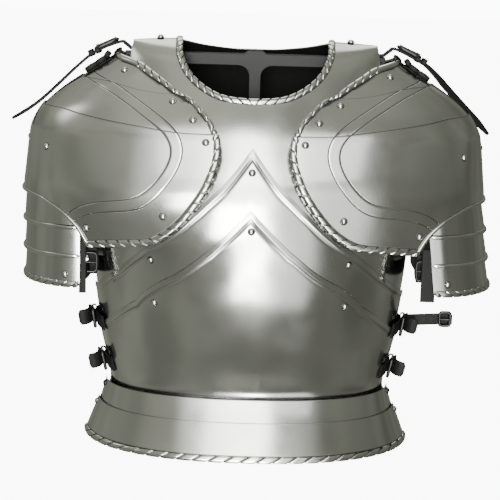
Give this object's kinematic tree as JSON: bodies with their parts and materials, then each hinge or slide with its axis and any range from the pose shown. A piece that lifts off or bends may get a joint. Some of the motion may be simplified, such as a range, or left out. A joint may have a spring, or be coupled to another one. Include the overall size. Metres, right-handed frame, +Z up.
{
  "type": "steel half armour (cuirass breastplate with backplate and pauldrons) on a plain display stand",
  "caption": "Polished steel half armour: cuirass with chevron plackarts, flared fauld, roped pauldrons and arm lames, leather straps, on a plain dark stand.",
  "frame": {"origin": "centre of the underside of the stand's base, on the surface that it stands on, below the post", "axes": "+Z up along the post, -Y out of the chest towards the viewer, +X to the viewer's right (the wearer's left)"},
  "size_m": [0.6254, 0.3273, 0.521],
  "materials": {
    "steel": "satin polished plate with fine brushing",
    "leather": "black waxed strap leather",
    "blackened_iron": "blackened iron with worn bright edges",
    "stand_paint": "dark grey satin paint"
  },
  "bodies": {
    "root": {"breastplate": "steel", "plackart_upper": "steel", "plackart_lower": "steel", "backplate": "steel", "fauld_rivet_left": "blackened_iron", "fauld_rivet_right": "blackened_iron", "pauldron_top_left": "steel", "pauldron_middle_left": "steel", "pauldron_shell_left": "steel", "arm_lame_upper_left": "steel", "arm_lame_middle_left": "steel", "arm_lame_lower_left": "steel", "shoulder_stud_left": "steel", "shoulder_strap_left": "leather", "shoulder_chape_left": "leather", "shoulder_buckle_left": "blackened_iron", "side_strap_upper_left": "leather", "side_strap_lower_left": "leather", "side_buckle_upper_left": "blackened_iron", "side_buckle_lower_left": "blackened_iron", "arm_strap_left": "leather", "pauldron_top_right": "steel", "pauldron_middle_right": "steel", "pauldron_shell_right": "steel", "arm_lame_upper_right": "steel", "arm_lame_middle_right": "steel", "arm_lame_lower_right": "steel", "shoulder_stud_right": "steel", "shoulder_strap_right": "leather", "shoulder_chape_right": "leather", "shoulder_buckle_right": "blackened_iron", "side_strap_upper_right": "leather", "side_strap_lower_right": "leather", "side_strap_tail_right": "leather", "side_buckle_upper_right": "blackened_iron", "side_buckle_lower_right": "blackened_iron", "arm_strap_right": "leather", "display_stand": "stand_paint"},
    "fauld_upper": {"fauld_lame_upper": "steel"},
    "fauld_lower": {"fauld_lame_lower": "steel"}
  },
  "joints": [
    {"name": "fauld_upper_swing", "type": "hinge", "parent": "root", "child": "fauld_upper", "pos_m": [0, -0.02, 0.069], "axis": [-1, 0, 0], "range_deg": [0, 4]},
    {"name": "fauld_lower_swing", "type": "hinge", "parent": "fauld_upper", "child": "fauld_lower", "pos_m": [0, -0.02, 0.044], "axis": [-1, 0, 0], "range_deg": [0, 4]}
  ]
}
